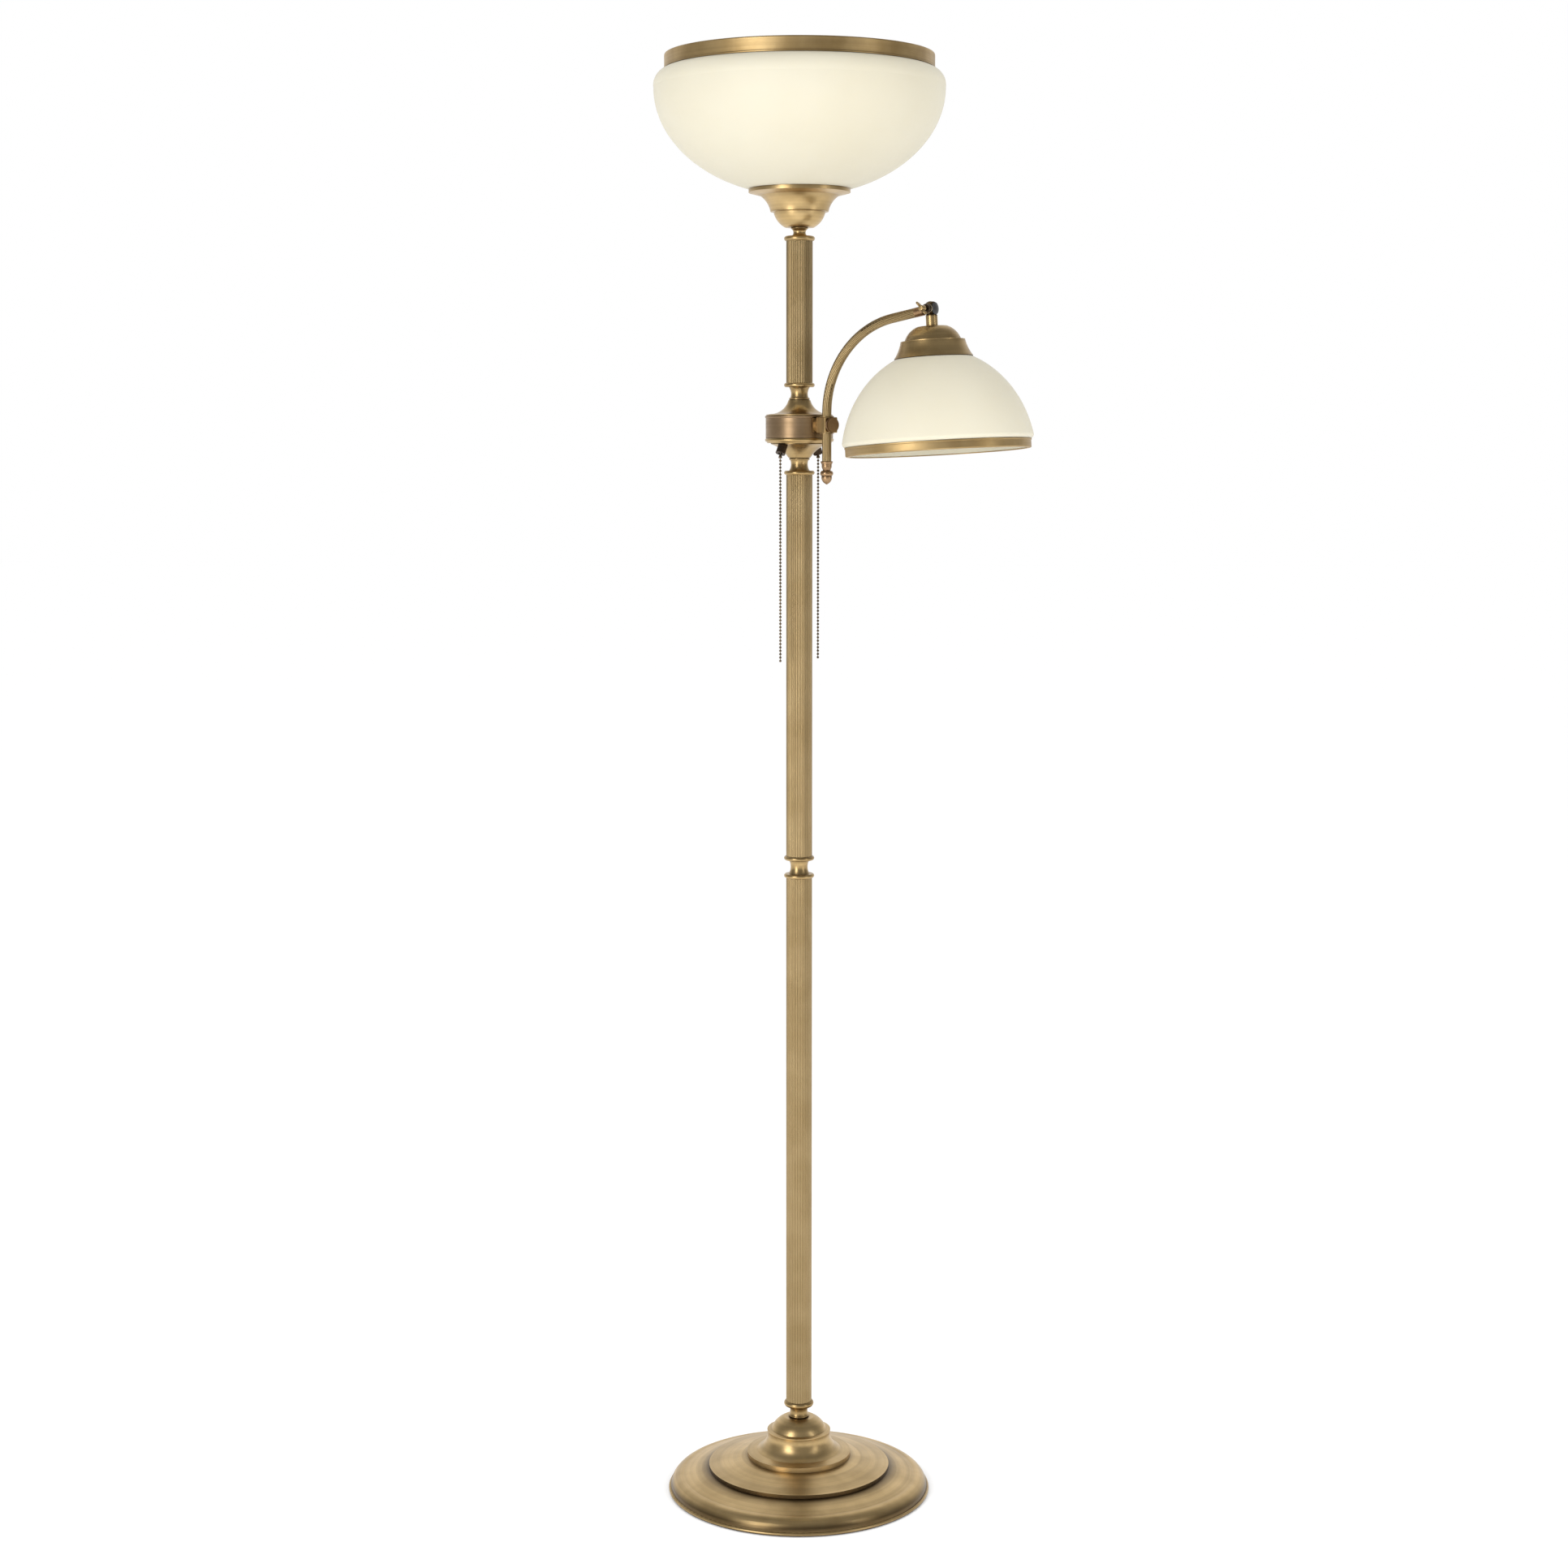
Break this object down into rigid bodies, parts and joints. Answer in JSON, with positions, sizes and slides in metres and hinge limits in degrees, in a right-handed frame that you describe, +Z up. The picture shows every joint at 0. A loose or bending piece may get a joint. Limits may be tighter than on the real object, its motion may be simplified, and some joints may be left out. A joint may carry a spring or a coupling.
{
  "type": "pharmacy floor lamp",
  "caption": "Brass uplighter floor lamp with an opal glass bowl and a second opal shade on a curved arm that swivels, slides and tilts, switched by bead chains.",
  "frame": {"origin": "centre of the base's underside", "axes": "+Z up the column, +Y to the lamp's back, +X to the side the lower shade's arm reaches"},
  "size_m": [0.4694, 0.4443, 1.8604],
  "materials": {
    "old_brass": "old brushed brass with a brown patina in its grooves",
    "dark_brass": "dark bronzed brass",
    "black_metal": "black, satin",
    "black_plastic": "black moulded plastic",
    "opal_glass": "cream opal glass, satin",
    "bulb_glass": "frosted white glass",
    "steel": "zinc-plated steel",
    "cast_iron": "raw casting, painted black",
    "pad_rubber": "black foam rubber sheet",
    "cable": "insulated wire"
  },
  "bodies": {
    "stand": {"base_pad": "pad_rubber", "base_weight": "cast_iron", "base_washer": "steel", "base_lock_nut": "steel", "base_shell": "old_brass", "cord_bushing": "black_plastic", "base_bell": "old_brass", "tie_tube_lower": "steel", "tie_tube_upper": "steel", "column_cables": "cable", "lower_collar": "old_brass", "lower_tube": "old_brass", "middle_collar": "old_brass", "middle_tube": "old_brass", "housing_lower_collar": "old_brass", "housing_lower_cover": "old_brass", "housing_spacer": "steel", "housing_drum": "old_brass", "housing_upper_cover": "old_brass", "housing_upper_collar": "old_brass", "terminal_block": "black_plastic", "upper_tube": "old_brass", "top_collar": "old_brass", "top_cup": "old_brass", "top_lock_nut": "steel", "top_lampholder": "black_plastic", "top_shade_ring": "old_brass", "top_bulb": "bulb_glass", "bowl_glass": "opal_glass", "bowl_ring": "old_brass", "bracket_plate": "old_brass", "bracket_spacer": "old_brass", "bracket_bolt": "steel", "clamp_block": "old_brass", "left_switch": "black_plastic", "left_switch_nut": "black_metal", "right_switch": "black_plastic", "right_switch_nut": "black_metal"},
    "swivel": {"arm_bush": "old_brass"},
    "arm": {"arm_tube": "old_brass", "arm_cable": "cable", "arm_finial": "old_brass", "arm_end": "old_brass"},
    "clamp_knob": {"clamp_knob": "old_brass"},
    "head": {"head_knuckle": "old_brass", "knuckle_plug": "black_plastic", "tilt_washer": "old_brass", "tilt_nut": "dark_brass", "head_cap": "old_brass", "lower_lampholder": "black_plastic", "lower_shade_ring": "old_brass", "lower_bulb": "bulb_glass", "lower_glass": "opal_glass", "lower_ring": "old_brass"},
    "wing_screw": {"wing_screw": "old_brass"},
    "left_pull": {"left_pull_link": "dark_brass"},
    "left_chain": {"left_chain": "dark_brass"},
    "right_pull": {"right_pull_link": "dark_brass"},
    "right_chain": {"right_chain": "dark_brass"}
  },
  "joints": [
    {"name": "arm_swivel", "type": "hinge", "parent": "stand", "child": "swivel", "pos_m": [0.03411, -0.05057, 1.3979], "axis": [0, 0, 1], "range_deg": [-100, 60]},
    {"name": "arm_slide", "type": "slide", "parent": "swivel", "child": "arm", "axis": [0, 0, 1], "range_m": [-0.003, 0.033]},
    {"name": "clamp_knob_turn", "type": "hinge", "parent": "stand", "child": "clamp_knob", "pos_m": [0.03973, -0.0589, 1.3979], "axis": [0.5592, -0.829, 0], "range_deg": [-180, 180]},
    {"name": "head_tilt", "type": "hinge", "parent": "arm", "child": "head", "pos_m": [0.1598, -0.13728, 1.53795], "axis": [-0.5678, -0.8231, 0], "range_deg": [-5, 85]},
    {"name": "wing_screw_turn", "type": "hinge", "parent": "head", "child": "wing_screw", "pos_m": [0.1598, -0.13728, 1.53795], "axis": [-0.5678, -0.8231, 0], "range_deg": [-180, 180]},
    {"name": "left_pull_slide", "type": "slide", "parent": "stand", "child": "left_pull", "axis": [0, 0, -1], "range_m": [0, 0.008], "stiffness_N_per_m": 1500},
    {"name": "left_chain_swing", "type": "hinge", "parent": "left_pull", "child": "left_chain", "pos_m": [-0.02429, -0.03109, 1.35611], "axis": [-0.6157, -0.788, 0], "range_deg": [-15, 15]},
    {"name": "right_pull_slide", "type": "slide", "parent": "stand", "child": "right_pull", "axis": [0, 0, -1], "range_m": [0, 0.008], "stiffness_N_per_m": 1500},
    {"name": "right_chain_swing", "type": "hinge", "parent": "right_pull", "child": "right_chain", "pos_m": [0.02429, 0.03109, 1.35611], "axis": [0.6157, 0.788, 0], "range_deg": [-15, 15]}
  ]
}
